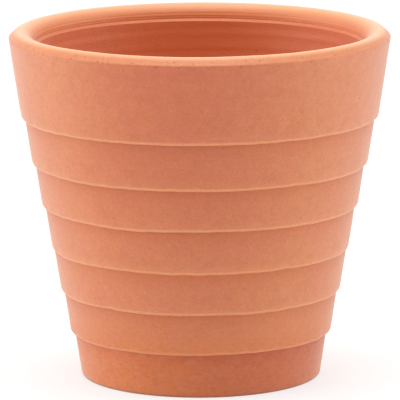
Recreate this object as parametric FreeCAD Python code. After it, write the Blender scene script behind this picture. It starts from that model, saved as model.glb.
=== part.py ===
import FreeCAD, Part
import math
import os

# Terracotta plant pot: one piece of fired clay, turned about the Z axis. All sizes are in millimetres.
# The origin is the centre of the underside, and Z points up to the mouth.

# Outside, from the mouth down: a tall rim band, then six lower bands. Every band narrows as it goes down,
# and its bottom edge rolls in to a crease, where the next band starts a little further in.
band_heights = [46.3, 24.7, 22.3, 23.0, 22.5, 22.2, 23.0]
band_top_radii = [100.9, 92.0, 86.6, 81.6, 77.1, 72.1, 66.5]
band_taper = 0.153          # radius lost per unit of height
roll_radius = 2.6           # of the rolled bottom edge above each crease
foot_edge_radius = 1.5      # of the outside bottom corner

# Lip: from its crown, a short round and a flat bevel lead to a soft corner with the rim band's wall. A wider
# round leads inside, to a narrow sloping ledge where the inside wall starts.
lip_crown_radius = 94.6     # from the axis
lip_outer_radius = 4.2
bevel_angle = math.radians(44)      # of the bevel below the horizontal
lip_corner_radius = 1.0
lip_inner_radius = 7.8
ledge_size = 1.2

# Inside: a slightly bulging wall, a rounded corner and a flat floor.
floor_thickness = 12.0
inside_floor_radius = 55.5  # where the line of the wall meets the floor
wall_bulge = 2.2            # of the inside wall, half way up, beyond a straight cone
floor_corner_radius = 12.0

# Underside: a flat foot ring round a shallow recess, and the drain hole in the middle.
foot_ring_width = 17.0
recess_depth = 2.0
drain_radius = 11.0
drain_edge_radius = 1.0

height = sum(band_heights)
taper_angle = math.atan(band_taper)
wall_outward = FreeCAD.Vector(math.cos(taper_angle), 0, -math.sin(taper_angle))
wall_down = FreeCAD.Vector(-math.sin(taper_angle), 0, -math.cos(taper_angle))


def point(radius, z):
    return FreeCAD.Vector(radius, 0, z)


def arc(centre, radius, start_angle, end_angle):
    """Arc in the profile's plane, with angles in radians from the outward direction towards +Z."""
    angles = (start_angle, (start_angle + end_angle) / 2, end_angle)
    return Part.Arc(*[centre + point(math.cos(a), math.sin(a)) * radius for a in angles])


def rolled_edge(wall_point, crease):
    """Rolled bottom of a band: it leaves the wall through wall_point smoothly and ends at the crease."""
    depth = (wall_point - crease).dot(wall_outward)
    turn = math.acos(1 - depth / roll_radius)
    to_crease = wall_outward * math.cos(turn) + wall_down * math.sin(turn)
    return arc(crease - to_crease * roll_radius, roll_radius, -taper_angle, -taper_angle - turn)


def lip():
    """Bevel, outer round, inner round and ledge, going inwards over the top of the rim band."""
    crown = point(lip_crown_radius, height)
    outer_centre = crown - point(0, lip_outer_radius)
    inner_centre = crown - point(0, lip_inner_radius)
    outer = arc(outer_centre, lip_outer_radius, math.pi / 2 - bevel_angle, math.pi / 2)
    inner = arc(inner_centre, lip_inner_radius, math.pi / 2, math.pi)
    ledge = Part.LineSegment(inner.EndPoint, inner.EndPoint - point(ledge_size, ledge_size))
    # The bevel runs down to the line of the rim band's wall.
    top = outer.StartPoint
    gap = band_top_radii[0] - band_taper * (height - top.z) - top.x
    length = gap / (math.cos(bevel_angle) + band_taper * math.sin(bevel_angle))
    corner = top + point(math.cos(bevel_angle), -math.sin(bevel_angle)) * length
    return [Part.LineSegment(corner, top), outer, inner, ledge]


def outside(start):
    """Walls and rolled edges from the lip down to the outside bottom corner."""
    curves = []
    z = height
    for index, band_height in enumerate(band_heights):
        z -= band_height
        bottom = point(band_top_radii[index] - band_taper * band_height, z)
        if index + 1 < len(band_heights):
            roll = rolled_edge(bottom, point(band_top_radii[index + 1], z))
            curves += [Part.LineSegment(start, roll.StartPoint), roll]
            start = roll.EndPoint
        else:
            curves.append(Part.LineSegment(start, bottom))
    return curves


def underside(start):
    """Foot ring, recess and drain hole, from the outside corner to the inside floor."""
    ring_inner = start.x - foot_ring_width
    corners = [
        start,
        point(ring_inner, 0),
        point(ring_inner - recess_depth, recess_depth),
        point(drain_radius, recess_depth),
        point(drain_radius, floor_thickness),
        point(inside_floor_radius, floor_thickness),
    ]
    return [Part.LineSegment(a, b) for a, b in zip(corners, corners[1:])]


def inside(start, end):
    """Inside wall from the floor up to the ledge below the lip."""
    middle = (start + end) * 0.5 + point(wall_bulge, 0)
    return [Part.Arc(start, middle, end)]


def circles(solid, radius, z):
    """Round edges of the solid with this radius at this height."""
    return [
        edge for edge in solid.Edges
        if isinstance(edge.Curve, Part.Circle)
        and abs(edge.Curve.Radius - radius) < 0.01
        and abs(edge.Curve.Center.z - z) < 0.01
    ]


def pot():
    lip_curves = lip()
    outer_curves = outside(lip_curves[0].StartPoint)
    foot = outer_curves[-1].EndPoint
    bottom_curves = underside(foot)
    inner_curves = inside(bottom_curves[-1].EndPoint, lip_curves[-1].EndPoint)
    loop = outer_curves + bottom_curves + inner_curves + lip_curves
    wire = Part.Wire(Part.__sortEdges__([curve.toShape() for curve in loop]))
    turned = Part.Face(wire).revolve(FreeCAD.Vector(), FreeCAD.Vector(0, 0, 1), 360)
    lip_corner = lip_curves[0].StartPoint
    turned = turned.makeFillet(lip_corner_radius, circles(turned, lip_corner.x, lip_corner.z))
    turned = turned.makeFillet(foot_edge_radius, circles(turned, foot.x, 0))
    turned = turned.makeFillet(floor_corner_radius, circles(turned, inside_floor_radius, floor_thickness))
    drain_ends = circles(turned, drain_radius, recess_depth) + circles(turned, drain_radius, floor_thickness)
    return turned.makeFillet(drain_edge_radius, drain_ends)


os.makedirs("parts", exist_ok=True)
body = pot()
body.exportStep("parts/pot.step")
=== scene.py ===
import math

import bpy
import numpy as np
from mathutils import Matrix, Vector, noise


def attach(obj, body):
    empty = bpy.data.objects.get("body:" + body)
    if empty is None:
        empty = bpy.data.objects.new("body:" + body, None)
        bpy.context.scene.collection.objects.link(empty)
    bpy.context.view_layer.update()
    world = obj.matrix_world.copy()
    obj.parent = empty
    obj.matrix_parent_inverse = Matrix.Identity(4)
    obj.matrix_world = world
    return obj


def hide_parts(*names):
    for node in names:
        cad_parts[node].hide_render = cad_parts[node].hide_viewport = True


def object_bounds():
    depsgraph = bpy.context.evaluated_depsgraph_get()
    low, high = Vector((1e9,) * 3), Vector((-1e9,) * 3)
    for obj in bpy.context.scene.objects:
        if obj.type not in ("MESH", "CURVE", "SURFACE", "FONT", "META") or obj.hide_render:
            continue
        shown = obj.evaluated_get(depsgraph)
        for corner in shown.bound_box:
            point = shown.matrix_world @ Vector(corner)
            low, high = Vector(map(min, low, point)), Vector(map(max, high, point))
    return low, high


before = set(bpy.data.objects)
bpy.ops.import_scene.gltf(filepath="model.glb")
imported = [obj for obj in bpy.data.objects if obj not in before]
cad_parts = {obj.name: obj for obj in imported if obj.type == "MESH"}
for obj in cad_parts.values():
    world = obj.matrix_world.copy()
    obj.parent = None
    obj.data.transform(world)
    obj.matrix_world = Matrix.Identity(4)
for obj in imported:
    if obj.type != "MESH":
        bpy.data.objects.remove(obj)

# A terracotta plant pot in a white light tent. Sizes are in millimetres, and MM turns them into metres.
MM = 0.001
cad_low, cad_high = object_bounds()

# ---- Shape of the pot -------------------------------------------------------------------------------------
# The outline repeats the CAD design: a rim band over six lower bands, each with a rolled bottom edge. Only
# the foot's outside corner differs: its round is a little narrower and reaches higher.
BAND_HEIGHTS = [46.3, 24.7, 22.3, 23.0, 22.5, 22.2, 23.0]
BAND_TOP_RADII = [100.9, 92.0, 86.6, 81.6, 77.1, 72.1, 66.5]
BAND_TAPER = 0.153
ROLL_RADIUS = 2.6
FOOT_ROUND_WIDTH = 1.3
FOOT_ROUND_HEIGHT = 3.0

LIP_CROWN_RADIUS = 94.6
LIP_OUTER_RADIUS = 4.2
BEVEL_ANGLE = math.radians(44)
LIP_CORNER_RADIUS = 1.0
LIP_INNER_RADIUS = 7.8
LEDGE_SIZE = 1.2

FLOOR_THICKNESS = 12.0
INSIDE_FLOOR_RADIUS = 55.5
WALL_BULGE = 2.2
FLOOR_CORNER_RADIUS = 12.0

FOOT_RING_WIDTH = 17.0
RECESS_DEPTH = 2.0
DRAIN_RADIUS = 11.0
DRAIN_EDGE_RADIUS = 1.0

HEIGHT = (cad_high.z - cad_low.z) / MM
TAPER_ANGLE = math.atan(BAND_TAPER)
CREASE_HEIGHTS = [HEIGHT - sum(BAND_HEIGHTS[:count]) for count in range(1, len(BAND_HEIGHTS))]

# How finely the outline is divided: the steps on each of its stretches.
WALL_STEP = 2.8               # length of a step on the outside walls, on average
WALL_BUNCHING = 1.6           # makes the steps shorter just below a crease
ROLL_STEPS = 8
FOOT_ROUND_STEPS = 7
FOOT_RING_STEPS = 5
RECESS_EDGE_STEPS = 2
RECESS_STEPS = 14
DRAIN_STEPS = 4               # on the hole's wall, and on the round at each of its ends
FLOOR_STEPS = 18
FLOOR_CORNER_STEPS = 9
INSIDE_POINTS = 118           # on the inside wall, before the rounded corner takes the lowest of them away
CORNER_GAP = 1.0              # in height, at least, between that corner and the points above it
LEDGE_STEPS = 5
SHOULDER_STEPS = 50           # on the lip's inner round
CROWN_STEPS = 10              # on its outer round
BEVEL_STEPS = 4
LIP_CORNER_STEPS = 5
SEGMENTS = 270                # steps round the pot
CORNER_TURN = math.radians(35)    # the least turn of the outline that is shaded as a corner


def straight(start, end, count, bunching=1.0):
    """Points from start up to, but not including, end. Bunching above 1 brings them closer near the start."""
    steps = np.linspace(0, 1, count, endpoint=False)[:, None] ** bunching
    return np.array(start) * (1 - steps) + np.array(end) * steps


def round_offset(radius, angle):
    """From a round's centre to its edge, at an angle from the outward direction towards +Z."""
    return radius * np.array([math.cos(angle), math.sin(angle)])


def curve(centre, radii, start_angle, end_angle, count):
    """Points on an arc, without its last point. The radius is one number, or a pair for an ellipse."""
    angles = np.linspace(start_angle, end_angle, count, endpoint=False)
    return np.array(centre) + np.broadcast_to(radii, 2) * np.column_stack([np.cos(angles), np.sin(angles)])


def rolled_edge(wall_point, crease):
    """Rolled bottom edge of a band, from its wall to the crease."""
    depth = np.dot(np.subtract(wall_point, crease), round_offset(1, -TAPER_ANGLE))
    end = -TAPER_ANGLE - math.acos(1 - depth / ROLL_RADIUS)
    centre = crease - round_offset(ROLL_RADIUS, end)
    return curve(centre, ROLL_RADIUS, -TAPER_ANGLE, end, ROLL_STEPS)


def outside_points(start):
    """From the lip down the bands to the foot."""
    parts = []
    z = HEIGHT
    for index, band_height in enumerate(BAND_HEIGHTS):
        z -= band_height
        bottom = (BAND_TOP_RADII[index] - BAND_TAPER * band_height, z)
        wall_steps = math.ceil(band_height / WALL_STEP)
        if index + 1 < len(BAND_HEIGHTS):
            crease = (BAND_TOP_RADII[index + 1], z)
            roll = rolled_edge(bottom, crease)
            parts += [straight(start, roll[0], wall_steps, WALL_BUNCHING), roll]
            start = crease
        else:
            wall_end = (bottom[0] + BAND_TAPER * FOOT_ROUND_HEIGHT, FOOT_ROUND_HEIGHT)
            foot = (wall_end[0] - FOOT_ROUND_WIDTH, 0)
            centre = (foot[0], FOOT_ROUND_HEIGHT)
            radii = (FOOT_ROUND_WIDTH, FOOT_ROUND_HEIGHT)
            parts.append(straight(start, wall_end, wall_steps, WALL_BUNCHING))
            parts.append(curve(centre, radii, 0, -math.pi / 2, FOOT_ROUND_STEPS))
    return np.concatenate(parts), foot


def underside_points(foot):
    """From the foot across the ring and the recess, and up the drain hole to the inside floor."""
    edge = DRAIN_EDGE_RADIUS
    ring_inner = (foot[0] - FOOT_RING_WIDTH, 0)
    recess_edge = (ring_inner[0] - RECESS_DEPTH, RECESS_DEPTH)
    hole_bottom = (DRAIN_RADIUS + edge, RECESS_DEPTH + edge)
    hole_top = (DRAIN_RADIUS + edge, FLOOR_THICKNESS - edge)
    return np.concatenate([
        straight(foot, ring_inner, FOOT_RING_STEPS),
        straight(ring_inner, recess_edge, RECESS_EDGE_STEPS),
        straight(recess_edge, (hole_bottom[0], RECESS_DEPTH), RECESS_STEPS),
        curve(hole_bottom, edge, -math.pi / 2, -math.pi, DRAIN_STEPS),
        straight((DRAIN_RADIUS, hole_bottom[1]), (DRAIN_RADIUS, hole_top[1]), DRAIN_STEPS),
        curve(hole_top, edge, math.pi, math.pi / 2, DRAIN_STEPS),
    ])


def inside_points(ledge_bottom):
    """From the drain hole over the floor, round the corner and up the bulging wall to the ledge."""
    floor_start = (DRAIN_RADIUS + DRAIN_EDGE_RADIUS, FLOOR_THICKNESS)
    steps = np.linspace(0, 1, INSIDE_POINTS)[:, None]
    cone = np.array([INSIDE_FLOOR_RADIUS, FLOOR_THICKNESS]) * (1 - steps) + np.array(ledge_bottom) * steps
    # The bulge is a parabola, which is 1 half way up.
    bulge = 4 * steps * (1 - steps)
    wall = cone + WALL_BULGE * np.column_stack([bulge, 0 * steps])
    # The corner's round meets the wall at the slope of the wall's lowest few points.
    slope = wall[4] - wall[0]
    wall_angle = math.atan2(slope[1], slope[0])
    corner_end = INSIDE_FLOOR_RADIUS - FLOOR_CORNER_RADIUS * math.tan(wall_angle / 2)
    centre = (corner_end, FLOOR_THICKNESS + FLOOR_CORNER_RADIUS)
    corner = curve(centre, FLOOR_CORNER_RADIUS, -math.pi / 2, wall_angle - math.pi / 2, FLOOR_CORNER_STEPS)
    above_corner = wall[wall[:, 1] > corner[-1, 1] + CORNER_GAP][:-1]
    return np.concatenate([straight(floor_start, corner[0], FLOOR_STEPS), corner, above_corner])


def lip_points():
    """Ledge, inner round and outside of the lip, from the inside wall's end to the rim band's start."""
    inner_centre = (LIP_CROWN_RADIUS, HEIGHT - LIP_INNER_RADIUS)
    outer_centre = (LIP_CROWN_RADIUS, HEIGHT - LIP_OUTER_RADIUS)
    ledge_top = (LIP_CROWN_RADIUS - LIP_INNER_RADIUS, HEIGHT - LIP_INNER_RADIUS)
    ledge_bottom = (ledge_top[0] - LEDGE_SIZE, ledge_top[1] - LEDGE_SIZE)
    ledge = straight(ledge_bottom, ledge_top, LEDGE_STEPS)
    shoulder = curve(inner_centre, LIP_INNER_RADIUS, math.pi, math.pi / 2, SHOULDER_STEPS)

    # The bevel runs down to the line of the rim band's wall, and the corner there is rounded.
    bevel_faces = math.pi / 2 - BEVEL_ANGLE
    bevel_top = outer_centre + round_offset(LIP_OUTER_RADIUS, bevel_faces)
    gap = BAND_TOP_RADII[0] - BAND_TAPER * (HEIGHT - bevel_top[1]) - bevel_top[0]
    length = gap / (math.cos(BEVEL_ANGLE) + BAND_TAPER * math.sin(BEVEL_ANGLE))
    length -= LIP_CORNER_RADIUS * math.tan((bevel_faces + TAPER_ANGLE) / 2)
    bevel_bottom = bevel_top + round_offset(length, -BEVEL_ANGLE)
    corner_centre = bevel_bottom - round_offset(LIP_CORNER_RADIUS, bevel_faces)
    lip = np.concatenate([
        curve(outer_centre, LIP_OUTER_RADIUS, math.pi / 2, bevel_faces, CROWN_STEPS),
        straight(bevel_top, bevel_bottom, BEVEL_STEPS),
        curve(corner_centre, LIP_CORNER_RADIUS, bevel_faces, -TAPER_ANGLE, LIP_CORNER_STEPS),
    ])
    wall_start = corner_centre + round_offset(LIP_CORNER_RADIUS, -TAPER_ANGLE)
    return ledge_bottom, ledge, shoulder, lip, wall_start


def build_outline():
    """Closed outline of the clay in the XZ plane, and the stretch of it that each part takes up."""
    ledge_bottom, ledge, shoulder, lip, wall_start = lip_points()
    outside, foot = outside_points(wall_start)
    parts = {
        "outside": outside,
        "underside": underside_points(foot),
        "inside": inside_points(ledge_bottom),
        "ledge": ledge,
        "shoulder": shoulder,
        "lip": lip,
    }
    stretches = {}
    start = 0
    for name, points in parts.items():
        stretches[name] = slice(start, start + len(points))
        start += len(points)
    return np.concatenate(list(parts.values())), stretches


def outline_directions(outline):
    """Outward direction at each point of the outline, and whether it is a corner."""
    back = outline - np.roll(outline, 1, axis=0)
    ahead = np.roll(outline, -1, axis=0) - outline
    back /= np.linalg.norm(back, axis=1)[:, None]
    ahead /= np.linalg.norm(ahead, axis=1)[:, None]
    along = back + ahead
    along /= np.linalg.norm(along, axis=1)[:, None]
    outward = np.column_stack([-along[:, 1], along[:, 0]])
    return outward, np.sum(back * ahead, axis=1) < math.cos(CORNER_TURN)


outline, stretches = build_outline()
outward, is_corner = outline_directions(outline)

# The pot's vertices before any marks: one row for each step round the pot, one column for each outline point.
angles = np.arange(SEGMENTS)[:, None] * (2 * math.pi / SEGMENTS)
radii, heights = outline[None, :, 0], outline[None, :, 1]
places = np.stack([radii * np.cos(angles), radii * np.sin(angles), heights + 0 * angles], axis=-1)

# ---- Marks of the making ----------------------------------------------------------------------------------
# The marks are pressed into the clay. Only the waves also push it out a little, and hardly so at the mouth,
# so that the pot stays inside its CAD box. Pairs are a depth and a size unless they say otherwise.
WAVES = (0.15, 38.0)          # in every wall
MOUTH_HEIGHTS = (150, 175)    # between which the waves move inwards, on the way up to the mouth
EDGE_WOBBLE = (0.35, 42.0)    # up and down, in each rolled edge
EDGE_RIPPLE = (0.16, 7.0)
EDGE_REACH = 4.0              # how far from its crease a rolled edge moves up and down
EDGE_WEAR = (0.35, 6.0)
EDGE_MIDDLE = (1.6, 1.6)      # of a rolled edge's worn part: height above the crease, and half width
NICK_COUNT = 5                # on each rolled edge
NICK_SIZES = (2.0, 3.5)
NICK_DEPTHS = (0.2, 0.5)
NICK_SEED = 5
THROWING_RINGS = [(0.10, 6.4), (0.07, 3.9)]      # depth and pitch, on the inside wall
RING_STRENGTH = (0.6, 0.5, 30.0)                 # on average, how much it varies, and over what size
FLAT_RINGS = (0.14, 9.0)      # depth and pitch, on the inside floor and in the recess
# Grooves on the lip's inner round: angle down from its crown and half width in degrees, and depth.
LIP_GROOVES = [(68.0, 2.6, 0.12), (80.5, 2.2, 0.12), (88.0, 1.8, 0.10)]
GROOVE_SIDE = math.radians(140)                  # where round the pot the grooves are deepest
GROOVE_VARIATION = (0.25, 25.0)                  # of that depth, and its size
LEAST_GROOVE = 0.08

# Where each kind of noise is looked up, so that no two are alike. The rolled edges count on from their own.
SEEDS = {"waves": 1, "wobble": 2, "ripple": 12, "wear": 22, "grooves": 40, "rings": 41, "sides": 50}
SEED_SHIFT = Vector((17.3, 9.1, 5.7))
NOISE_GAIN = 1.4              # brings the noise to about -1 to 1


def lumps(positions, size, seed):
    """Smooth noise between about -1 and 1, with lumps of this size in millimetres."""
    flat = positions.reshape(-1, 3) / size
    values = [noise.noise(Vector(place) + SEED_SHIFT * seed) for place in flat]
    return NOISE_GAIN * np.array(values).reshape(positions.shape[:-1])


def bump_at(distance, width):
    return np.exp(-(distance / width) ** 2)


def rising(values, start, end):
    """0 up to start, 1 from end on, and evenly from one to the other in between."""
    return np.clip((values - start) / (end - start), 0, 1)


def turn_from(angle):
    """How far round the pot each step is from this angle, between half a turn back and half a turn ahead."""
    return (angles - angle + math.pi) % (2 * math.pi) - math.pi


def only(part, values):
    """The values on one part of the outline, and 0 elsewhere."""
    kept = np.zeros(places.shape[:2])
    kept[:, stretches[part]] = np.broadcast_to(values, kept.shape)[:, stretches[part]]
    return kept


def rolled_edge_marks():
    """Wear and nicks along the rolled edges, and how far each point is moved up or down."""
    picks = np.random.default_rng(NICK_SEED)
    least, most = zip((0, 2 * math.pi), NICK_SIZES, NICK_DEPTHS)
    depth = np.zeros(places.shape[:2])
    rise = np.zeros(places.shape[:2])
    for index, crease_height in enumerate(CREASE_HEIGHTS):
        radius = BAND_TOP_RADII[index + 1]
        ring = radius * np.concatenate([np.cos(angles), np.sin(angles), 0 * angles], axis=1)
        above = heights - crease_height
        wobble = EDGE_WOBBLE[0] * lumps(ring, EDGE_WOBBLE[1], SEEDS["wobble"] + index)
        wobble += EDGE_RIPPLE[0] * lumps(ring, EDGE_RIPPLE[1], SEEDS["ripple"] + index)
        rise += wobble[:, None] * only("outside", bump_at(above, EDGE_REACH))
        edge = only("outside", bump_at(above - EDGE_MIDDLE[0], EDGE_MIDDLE[1]))
        wear = np.clip(lumps(ring, EDGE_WEAR[1], SEEDS["wear"] + index), 0, 1)
        depth += EDGE_WEAR[0] * wear[:, None] * edge
        for nick in range(NICK_COUNT):
            angle, size, cut = picks.uniform(least, most)
            depth += cut * bump_at(turn_from(angle) * radius, size) * edge
    return depth, rise


def groove_marks():
    """Tool grooves on the lip's inner round, which fade out on one side of the pot."""
    variation = GROOVE_VARIATION[0] * lumps(places[:, :1], GROOVE_VARIATION[1], SEEDS["grooves"])
    strength = np.clip(0.5 + 0.5 * np.cos(angles - GROOVE_SIDE) + variation, LEAST_GROOVE, 1)
    down = np.linspace(90, 0, SHOULDER_STEPS, endpoint=False)[None]
    return strength * sum(cut * bump_at(down - angle, half_width) for angle, half_width, cut in LIP_GROOVES)


def pressed_marks():
    """How far each vertex is pressed in along the outline, and how far it is moved up."""
    depth, rise = rolled_edge_marks()
    # Nothing moves where the pot stands, and the marks reach their full depth above the foot's round.
    free = rising(heights, 0, FOOT_ROUND_HEIGHT)
    waves = rising(heights, *MOUTH_HEIGHTS) + lumps(places, WAVES[1], SEEDS["waves"])
    depth += WAVES[0] * waves * free
    depth[:, stretches["shoulder"]] += groove_marks()

    inside = stretches["inside"]
    usual, variation, size = RING_STRENGTH
    strength = np.clip(usual + variation * lumps(places[:, inside], size, SEEDS["rings"]), 0, 1)
    strength *= rising(heights[:, inside], FLOOR_THICKNESS, FLOOR_THICKNESS + FLOOR_CORNER_RADIUS)
    for cut, pitch in THROWING_RINGS:
        phase = 2 * math.pi * heights[:, inside] / pitch + angles
        depth[:, inside] += cut * strength * (1 + np.cos(phase))

    cut, pitch = FLAT_RINGS
    flat = np.isclose(heights, RECESS_DEPTH) | np.isclose(heights, FLOOR_THICKNESS)
    depth += cut * (1 - np.cos(2 * math.pi * (radii - DRAIN_RADIUS) / pitch + angles)) * flat
    return depth * free, rise * free


# ---- Where the colour changes -----------------------------------------------------------------------------
# Each of these is painted on the mesh, from 0 to 1, for the material to read.
# Painted shade below each rolled edge, falling off over two reaches.
SHADE_FALLOFF = [(0.65, 4.0), (0.35, 14.0)]            # share of the shade, and its reach below a rolled edge
# Painted shade in the lip's grooves.
GROOVE_SHADE = 0.15            # of the sheltered colour in the lip's deepest groove
# Painted highlights: the worn line along each rolled edge and the wear on the lip are highlights.
EDGE_LINE = (1.0, 0.8)        # height of the worn line above a crease, and its half width
EDGE_LINE_START = 0.5         # over this height from the crease, the line fades in
LOWEST_EDGE_HIGHLIGHT = 0.6        # of the wear of the other edges
LIP_HIGHLIGHT_WIDTH = 1.2
# Half widths of the painted highlight on the top of the lip.
CROWN_WIDTHS = {"lip": 0.9, "shoulder": 2.4}
# Painted light on the lip's inner round, called the smoothed part below.
SHOULDER_LIGHT_FROM = (1.0, 3.2)    # below the crown: where the smoothed part of the lip starts and is whole
LIP_CORNER_DEPTH = 3.7        # of the lip's outer corner, below the crown
CHIPPED_WIDTH = 2.2
LEDGE_INSIDE = 0.85           # of the inside's colour on the ledge
# Painted contact shadow where the pot stands: its height and strength.
CONTACT_SHADOW_HEIGHT = 1.6
CONTACT_SHADOW = 0.9
# Side under painted shade, facing the camera, and the foot's darker side: its middle's angle from +X, and
# half width.
SHADED_SIDE = (math.radians(-97), math.radians(45))
DARKER_FOOT_SIDE = (math.radians(-58), math.radians(66))
SIDE_VARIATION = (0.15, 30.0)                    # share of that half width, and its size
# Painted shade on the front: it would start at the first height and is whole at the second.
SHADED_SIDE_HEIGHTS = (-30, 175)     # where the fire's colour would start, and where it is whole
# Share of the front's darker tone laid all round the lip.
LIP_TONE = 0.2               # of the fire's colour all round the lip
TOLERANCE = 0.01              # in height, when telling whether a point is below a crease


def painted_crease_shade():
    """Painted shade below the rolled edges and in the lip's grooves."""
    values = np.zeros(places.shape[:2])
    for crease_height in CREASE_HEIGHTS:
        below = crease_height - heights
        shade = sum(share * np.exp(-np.abs(below) / reach) for share, reach in SHADE_FALLOFF)
        values += only("outside", np.where(below > -TOLERANCE, shade, 0))
    values[:, stretches["shoulder"]] += GROOVE_SHADE * groove_marks() / LIP_GROOVES[0][2]
    return np.clip(values, 0, 1)


def painted_edge_highlight():
    """Painted highlight along the rolled edges and on the top of the lip."""
    lip_top_highlight = bump_at(heights - HEIGHT, LIP_HIGHLIGHT_WIDTH)
    values = only("lip", lip_top_highlight) + only("shoulder", lip_top_highlight)
    for crease_height in CREASE_HEIGHTS:
        above = heights - crease_height
        line = bump_at(above - EDGE_LINE[0], EDGE_LINE[1]) * rising(above, 0, EDGE_LINE_START)
        values += only("outside", line) * (LOWEST_EDGE_HIGHLIGHT if crease_height == CREASE_HEIGHTS[-1] else 1)
    return np.clip(values, 0, 1)


def one_side(middle, half_width):
    """1 at the angle middle, fading to 0 at half_width from there."""
    turn = turn_from(middle)
    reach = half_width * (1 + SIDE_VARIATION[0] * lumps(places, SIDE_VARIATION[1], SEEDS["sides"]))
    return np.where(np.abs(turn) < reach, np.cos(turn / reach * math.pi / 2), 0)


def fired():
    """Painted shade on the side that faces the camera, strongest at the rim, and a darker tone all round the
    lip.
    """
    wall = only("outside", rising(heights, *SHADED_SIDE_HEIGHTS)) * one_side(*SHADED_SIDE)
    return wall + LIP_TONE * only("lip", 1)


def stained():
    """One side of the lowest band."""
    return only("outside", one_side(*DARKER_FOOT_SIDE) * (heights < CREASE_HEIGHTS[-1] + TOLERANCE))


def near_foot():
    """The lowest band, fading out over the band above it."""
    return only("outside", (1 - rising(heights, CREASE_HEIGHTS[-1], CREASE_HEIGHTS[-2])) ** 2)


def crown():
    """Painted highlight on the top of the lip."""
    return sum(only(part, bump_at(heights - HEIGHT, width)) for part, width in CROWN_WIDTHS.items())


def painted_shoulder_light():
    """Painted light on the lower part of the lip's inner round."""
    return only("shoulder", rising(HEIGHT - heights, *SHOULDER_LIGHT_FROM))


def chipped():
    """Along the lip's outer corner."""
    line = bump_at(heights - (HEIGHT - LIP_CORNER_DEPTH), CHIPPED_WIDTH)
    return only("lip", line) + only("outside", line)


def grimy():
    """A thin painted contact shadow where the pot stands."""
    return CONTACT_SHADOW * only("outside", 1 - rising(heights, 0, CONTACT_SHADOW_HEIGHT))


def lip():
    """The lip and its inner round."""
    return only("lip", 1) + only("shoulder", 1)


def inside():
    """The inside, and the ledge to a lesser degree."""
    return only("inside", 1) + LEDGE_INSIDE * only("ledge", 1)


# Each is painted on the mesh under its function's name.
PAINTS = [painted_crease_shade, painted_edge_highlight, near_foot, fired, stained, crown, painted_shoulder_light, chipped, grimy, lip, inside]


# ---- The pot's mesh ---------------------------------------------------------------------------------------
def mark_corners(mesh):
    """Keeps the shading apart on the two sides of each corner of the outline."""
    ends = np.empty(len(mesh.edges) * 2, dtype=np.int32)
    mesh.edges.foreach_get("vertices", ends)
    ends = ends.reshape(-1, 2) % len(outline)
    mesh.edges.foreach_set("use_edge_sharp", (ends[:, 0] == ends[:, 1]) & is_corner[ends[:, 0]])


def make_pot():
    depth, rise = pressed_marks()
    push = -depth[..., None] * outward
    moves = [push[..., 0] * np.cos(angles), push[..., 0] * np.sin(angles), push[..., 1] + rise]
    vertices = places + np.stack(moves, axis=-1)
    index = np.arange(SEGMENTS * len(outline)).reshape(SEGMENTS, len(outline))
    beside = np.roll(index, -1, axis=0)
    faces = np.stack([index, np.roll(index, -1, axis=1), np.roll(beside, -1, axis=1), beside], axis=-1)
    mesh = bpy.data.meshes.new("clay")
    mesh.from_pydata((vertices.reshape(-1, 3) * MM).tolist(), [], faces.reshape(-1, 4).tolist())
    mesh.polygons.foreach_set("use_smooth", np.ones(len(mesh.polygons), dtype=bool))
    mark_corners(mesh)
    for paint in PAINTS:
        layer = mesh.attributes.new(paint.__name__, "FLOAT", "POINT")
        layer.data.foreach_set("value", paint().astype(np.float32).ravel())
    mesh.update()
    body = bpy.data.objects.new("clay_body", mesh)
    bpy.context.scene.collection.objects.link(body)
    return body


body = make_pot()


# ---- Clay -------------------------------------------------------------------------------------------------
CLAY = (0.66, 0.214, 0.058)
PINK_CLAY = (0.68, 0.197, 0.084)
DEEP_CLAY = (0.61, 0.160, 0.045)
PALE_CLAY = (0.75, 0.272, 0.114)
INSIDE_CLAY = (0.67, 0.149, 0.033)
# Painted light on the lip's inner round.
SHOULDER_LIGHT_CLAY = (0.77, 0.216, 0.058)
DAMP_CLAY = (0.68, 0.165, 0.020)
SMEARED_CLAY = (0.46, 0.098, 0.022)
# Painted highlight along the rolled edges and the lip.
EDGE_HIGHLIGHT_CLAY = (0.80, 0.312, 0.112)
# Painted highlight on the top of the lip.
CROWN_HIGHLIGHT_CLAY = (0.83, 0.355, 0.145)
# Painted contact shadow where the pot stands.
CONTACT_SHADOW_COLOUR = (0.20, 0.065, 0.030)
SPECK = (0.33, 0.085, 0.035)
GRIT = (0.80, 0.36, 0.20)
# Share of the clay's colour left under the front's painted shade, on the foot's darker side, and in painted
# crease shade.
FRONT_SHADE = (0.905, 0.66, 0.64)
FOOT_SIDE_DARKENING = (0.85, 0.70, 0.71)
PAINTED_SHADE = (0.87, 0.66, 0.33)

# Layers of colour, in the order in which they are laid. Each follows a pattern: between two of the pattern's
# values, the layer goes from the first strength to the second.
BODY_LAYERS = [
    ("blotches", (0.35, 0.65), (0.00, 0.30), DEEP_CLAY),
    ("clouds", (0.40, 0.75), (0.00, 0.45), PALE_CLAY),
    ("clouds", (0.25, 0.48), (0.45, 0.00), DEEP_CLAY),
    ("mottles", (0.50, 0.75), (0.00, 0.33), PALE_CLAY),
    ("mottles", (0.25, 0.50), (0.38, 0.00), DEEP_CLAY),
    ("streaks", (0.40, 0.70), (0.00, 0.14), PALE_CLAY),
    ("grain", (0.30, 0.50), (0.62, 0.00), DEEP_CLAY),
    ("grain", (0.50, 0.70), (0.00, 0.28), PALE_CLAY),
]
FOOT_LAYERS = [
    ("clouds", (0.40, 0.55), (0.55, 0.95), DAMP_CLAY),
    ("smears", (0.36, 0.50), (0.35, 0.00), SMEARED_CLAY),
    ("smears", (0.52, 0.68), (0.00, 0.22), PALE_CLAY),
]
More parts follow.
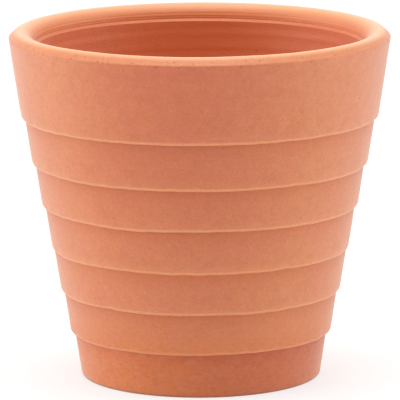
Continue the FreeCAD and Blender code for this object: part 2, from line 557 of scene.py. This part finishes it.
# In the same way, the strength of some of the paints follows a pattern.
UNEVEN_PAINTS = {
    "painted_shoulder_light": ("grain", (0.30, 0.70), (1.00, 0.70)),
    "painted_crease_shade": ("clouds", (0.30, 0.60), (0.65, 1.00)),
    "painted_edge_highlight": ("grain", (0.35, 0.65), (0.60, 1.00)),
}
PINK_TINTS = (0.30, 0.70)     # where the tints start to turn the clay pink, and where it is all pink
LIP_PINKNESS = -0.22          # added to the tints on the lip
# How strongly each kind of spot is coloured.
SPOTS = [("grit", 0.35, GRIT), ("specks", 0.75, SPECK), ("pits", 0.30, SPECK), ("chips", 0.80, SPECK)]
# Height of each pattern in the surface's fine relief, in millimetres.
RELIEF = {
    "grain": 0.16,
    "streaks": 0.05,
    "clouds": 0.15,
    "pits": -0.12,
    "specks": -0.08,
    "chips": -0.20,
    "grit": 0.06,
}
# Noise is drawn out round the pot by reading it on a narrower cylinder: the narrower, the longer the marks.
STREAK_CYLINDER = 5.0
SMEAR_CYLINDER = 32.0
COARSENESS = (0.7, 1.3)       # of the grain and clouds together, where the surface is least and most rough
ROUGHNESS = (0.44, 0.56)      # its roughness there
SPECULAR = 0.75
DUST_SHEEN = 0.35             # the dry, dusty sheen of fired clay
DUST_SHEEN_ROUGHNESS = 0.4
SPOT_SIZES = (0.6, 1.3)       # least and most, as shares of the radius given for the spots
SPOT_FADE = 0.5               # share of a spot's radius over which it fades in from its edge


class Shading:
    """Short ways to add and join the nodes of one material."""

    def __init__(self, material):
        self.nodes = material.node_tree.nodes
        self.links = material.node_tree.links

    def add(self, kind, inputs, **settings):
        node = self.nodes.new("ShaderNode" + kind)
        for name, value in settings.items():
            setattr(node, name, value)
        for name, value in inputs.items():
            if isinstance(value, bpy.types.NodeSocket):
                self.links.new(value, node.inputs[name])
            else:
                node.inputs[name].default_value = value
        return node.outputs

    def math(self, operation, *values, clamp=False):
        inputs = dict(enumerate(values))
        return self.add("Math", inputs, operation=operation, use_clamp=clamp)["Value"]

    def vector(self, operation, *values):
        return self.add("VectorMath", dict(enumerate(values)), operation=operation)["Vector"]

    def attribute(self, name):
        return self.add("Attribute", {}, attribute_name=name)["Fac"]

    def shifted(self, place, distance):
        return self.vector("ADD", place, (distance,) * 3)

    def drawn_out(self, place, cylinder):
        """The place moved straight in or out to a cylinder of this radius round the axis."""
        flat = self.vector("MULTIPLY", place, (1, 1, 0))
        on_cylinder = self.vector("MULTIPLY", self.vector("NORMALIZE", flat), (cylinder,) * 3)
        return self.vector("ADD", on_cylinder, self.vector("MULTIPLY", place, (0, 0, 1)))

    def noise(self, place, size, detail=2.0, roughness=0.5):
        """Noise from 0 to 1, about 0.5, with lumps of this size in millimetres."""
        inputs = {"Vector": place, "Scale": 1 / size, "Detail": detail, "Roughness": roughness}
        return self.add("TexNoise", inputs)["Fac"]

    def spots(self, place, spacing, radius, share):
        """Round spots, 1 in their middle and 0 outside, in this share of the cells of a scattered grid."""
        inputs = {"Vector": place, "Scale": 1 / spacing, "Randomness": 1.0}
        cells = self.add("TexVoronoi", inputs)
        pick = self.add("SeparateColor", {"Color": cells["Color"]})
        size = self.math("MULTIPLY", self.ramp(pick["Green"], 0, 1, *SPOT_SIZES), radius / spacing)
        near = self.math("SUBTRACT", 1.0, self.math("DIVIDE", cells["Distance"], size), clamp=True)
        chosen = self.math("LESS_THAN", pick["Red"], share)
        return self.math("MULTIPLY", self.ramp(near, 0, SPOT_FADE), chosen)

    def ramp(self, value, low, high, to_low=0.0, to_high=1.0):
        inputs = {"Value": value, "From Min": low, "From Max": high, "To Min": to_low, "To Max": to_high}
        return self.add("MapRange", inputs, clamp=True)["Result"]

    def mix(self, factor, first, second):
        first = first if isinstance(first, bpy.types.NodeSocket) else (*first, 1)
        second = second if isinstance(second, bpy.types.NodeSocket) else (*second, 1)
        return self.add("MixRGB", {"Fac": factor, "Color1": first, "Color2": second})["Color"]

    def darken(self, factor, colour, share_left):
        inputs = {"Fac": factor, "Color1": colour, "Color2": (*share_left, 1)}
        return self.add("MixRGB", inputs, blend_type="MULTIPLY")["Color"]


def clay_patterns(shading):
    """Noise and spots of several sizes, in millimetres, and what is painted on the mesh, by name."""
    metres = shading.add("TexCoord", {})["Object"]
    place = shading.vector("MULTIPLY", metres, (1 / MM,) * 3)
    streak_place = shading.drawn_out(place, STREAK_CYLINDER)
    smear_place = shading.drawn_out(place, SMEAR_CYLINDER)
    patterns = {
        "blotches": shading.noise(place, size=32.0),
        "tints": shading.noise(shading.shifted(place, 40.0), size=9.0),
        "clouds": shading.noise(place, size=6.0, detail=3.0),
        "mottles": shading.noise(shading.shifted(place, 70.0), size=2.4),
        "grain": shading.noise(place, size=0.9, roughness=0.6),
        "streaks": shading.noise(streak_place, size=1.3),
        "smears": shading.noise(smear_place, size=1.4, detail=3.0, roughness=0.7),
        "specks": shading.spots(place, spacing=5.0, radius=0.50, share=0.45),
        "pits": shading.spots(place, spacing=3.1, radius=0.36, share=0.35),
        "grit": shading.spots(place, spacing=5.3, radius=0.45, share=0.30),
    }
    for paint in PAINTS:
        patterns[paint.__name__] = shading.attribute(paint.__name__)
    chips = shading.spots(shading.shifted(place, 11.0), spacing=2.4, radius=0.62, share=0.40)
    patterns["chips"] = shading.math("MULTIPLY", chips, patterns["chipped"])
    return patterns


def uneven(shading, patterns, paint):
    """What is painted, with its strength varied by a pattern."""
    name, limits, strengths = UNEVEN_PAINTS[paint]
    return shading.math("MULTIPLY", patterns[paint], shading.ramp(patterns[name], *limits, *strengths))


def body_colour(shading, patterns):
    """Mottled clay, painted shade on the front and the lip's darker tone, the inside's colour, and painted
    light on the lip's inner round.
    """
    pinkness = shading.math("MULTIPLY_ADD", patterns["lip"], LIP_PINKNESS, patterns["tints"])
    colour = shading.mix(shading.ramp(pinkness, *PINK_TINTS), CLAY, PINK_CLAY)
    for name, limits, strengths, layer in BODY_LAYERS:
        colour = shading.mix(shading.ramp(patterns[name], *limits, *strengths), colour, layer)
    # Painted shade on the side facing the camera, and a darker tone all round the lip.
    colour = shading.darken(patterns["fired"], colour, FRONT_SHADE)
    colour = shading.mix(patterns["inside"], colour, INSIDE_CLAY)
    # Painted light on the lower part of the lip's inner round.
    return shading.mix(uneven(shading, patterns, "painted_shoulder_light"), colour, SHOULDER_LIGHT_CLAY)


def foot_colour(shading, patterns, colour):
    """Over the lowest band: damp clay with smears drawn out round the pot, and one side darker."""
    for name, limits, strengths, layer in FOOT_LAYERS:
        strength = shading.ramp(patterns[name], *limits, *strengths)
        colour = shading.mix(shading.math("MULTIPLY", patterns["near_foot"], strength), colour, layer)
    # One side of the lowest band is made darker.
    return shading.darken(patterns["stained"], colour, FOOT_SIDE_DARKENING)


def marked_colour(shading, patterns, colour):
    """Over everything: painted shade in hollows, painted highlights on the edges and the crown, a painted
    contact shadow, spots.
    """
    # Painted shade below the rolled edges and in the lip's grooves.
    colour = shading.darken(uneven(shading, patterns, "painted_crease_shade"), colour, PAINTED_SHADE)
    # Painted highlight along the rolled edges and the lip.
    colour = shading.mix(uneven(shading, patterns, "painted_edge_highlight"), colour, EDGE_HIGHLIGHT_CLAY)
    # Painted highlight on the top of the lip.
    colour = shading.mix(patterns["crown"], colour, CROWN_HIGHLIGHT_CLAY)
    # Painted contact shadow where the pot stands.
    colour = shading.mix(patterns["grimy"], colour, CONTACT_SHADOW_COLOUR)
    for name, strength, spot in SPOTS:
        colour = shading.mix(shading.math("MULTIPLY", patterns[name], strength), colour, spot)
    return colour


def relief(shading, patterns):
    """Normal of the fine relief."""
    height = 0.0
    for name, depth in RELIEF.items():
        height = shading.math("MULTIPLY_ADD", patterns[name], depth, height)
    return shading.add("Bump", {"Height": height, "Distance": MM, "Strength": 1.0})["Normal"]


def clay_material():
    material = bpy.data.materials.new("fired_clay")
    material.use_nodes = True
    shading = Shading(material)
    shader = shading.nodes["Principled BSDF"]
    patterns = clay_patterns(shading)

    colour = body_colour(shading, patterns)
    colour = foot_colour(shading, patterns, colour)
    colour = marked_colour(shading, patterns, colour)
    shading.links.new(colour, shader.inputs["Base Color"])

    coarseness = shading.math("ADD", patterns["grain"], patterns["clouds"])
    roughness = shading.ramp(coarseness, *COARSENESS, *ROUGHNESS)
    shading.links.new(roughness, shader.inputs["Roughness"])
    shading.links.new(relief(shading, patterns), shader.inputs["Normal"])
    shader.inputs["Specular IOR Level"].default_value = SPECULAR
    shader.inputs["Sheen Weight"].default_value = DUST_SHEEN
    shader.inputs["Sheen Roughness"].default_value = DUST_SHEEN_ROUGHNESS
    return material


body.data.materials.append(clay_material())
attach(body, "root")
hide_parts("pot")


# ---- Floor ------------------------------------------------------------------------------------------------
FLOOR_HALF_WIDTH = 40.0       # metres
FLOOR_COLOUR = (0.40, 0.40, 0.40)
FLOOR_GLOW = 0.59             # light that comes up through it, as on a light table


def make_floor():
    h = FLOOR_HALF_WIDTH
    mesh = bpy.data.meshes.new("floor")
    mesh.from_pydata([(-h, -h, 0), (h, -h, 0), (h, h, 0), (-h, h, 0)], [], [(0, 1, 2, 3)])
    floor = bpy.data.objects.new("floor", mesh)
    bpy.context.scene.collection.objects.link(floor)
    material = bpy.data.materials.new("white_floor")
    material.use_nodes = True
    shader = material.node_tree.nodes["Principled BSDF"]
    shader.inputs["Base Color"].default_value = (*FLOOR_COLOUR, 1)
    shader.inputs["Emission Color"].default_value = (1, 1, 1, 1)
    shader.inputs["Emission Strength"].default_value = FLOOR_GLOW
    shader.inputs["Roughness"].default_value = 0.9
    shader.inputs["Specular IOR Level"].default_value = 0.0
    mesh.materials.append(material)
    return floor


make_floor()

# ---- Light ------------------------------------------------------------------------------------------------
# A white tent, lit through its panels. Each panel: its azimuth, from the camera's side towards +X, and its
# elevation, in degrees; how sharply its light falls off away from that direction; and its brightness.
PANELS = {
    "ceiling": (0, 90, 10, 3.9),
    "left": (270, 10, 8, 3.65),
    "right": (90, 10, 8, 2.6),
    "back": (180, 10, 8, 1.7),
}
UPPER_RING = (6, 45, 8, 0.5)      # number of panels, evenly spaced, then as above


def light_tent():
    world = bpy.data.worlds.new("light_tent")
    bpy.context.scene.world = world
    world.use_nodes = True
    shading = Shading(world)
    direction = shading.add("TexCoord", {})["Generated"]
    count, *ring_panel = UPPER_RING
    panels = list(PANELS.values()) + [(index * 360 / count, *ring_panel) for index in range(count)]
    total = 0.0
    for azimuth, elevation, sharpness, brightness in panels:
        azimuth, elevation = math.radians(azimuth), math.radians(elevation)
        level = math.cos(elevation)
        facing = (math.sin(azimuth) * level, -math.cos(azimuth) * level, math.sin(elevation))
        cosine = shading.add("VectorMath", {0: direction, 1: facing}, operation="DOT_PRODUCT")["Value"]
        lit = shading.math("POWER", shading.math("MAXIMUM", cosine, 0.0), float(sharpness))
        total = shading.math("MULTIPLY_ADD", lit, brightness, total)
    background = shading.nodes["Background"]
    background.inputs["Color"].default_value = (1, 1, 1, 1)
    shading.links.new(total, background.inputs["Strength"])


light_tent()

# ---- Camera -----------------------------------------------------------------------------------------------
CAMERA_DISTANCE = 2510.5      # from the point it looks at
CAMERA_ELEVATION = math.radians(10.78)
CAMERA_ROLL = math.radians(-0.25)
CAMERA_AIM = Vector((-0.16, 0, 92.5))
CAMERA_LENS = 428.3
SENSOR_WIDTH = 36.0
CAMERA_REACH = 200            # metres, well past the floor's far edge


def make_camera():
    back = Vector((0, -math.cos(CAMERA_ELEVATION), math.sin(CAMERA_ELEVATION)))
    data = bpy.data.cameras.new("camera")
    data.sensor_width = SENSOR_WIDTH
    data.lens = CAMERA_LENS
    data.clip_end = CAMERA_REACH
    camera = bpy.data.objects.new("camera", data)
    turn = back.to_track_quat("Z", "Y").to_matrix() @ Matrix.Rotation(CAMERA_ROLL, 3, "Z")
    camera.matrix_world = Matrix.Translation((CAMERA_AIM + back * CAMERA_DISTANCE) * MM) @ turn.to_4x4()
    bpy.context.scene.collection.objects.link(camera)
    bpy.context.scene.camera = camera


make_camera()
bpy.context.scene.view_settings.view_transform = "Standard"
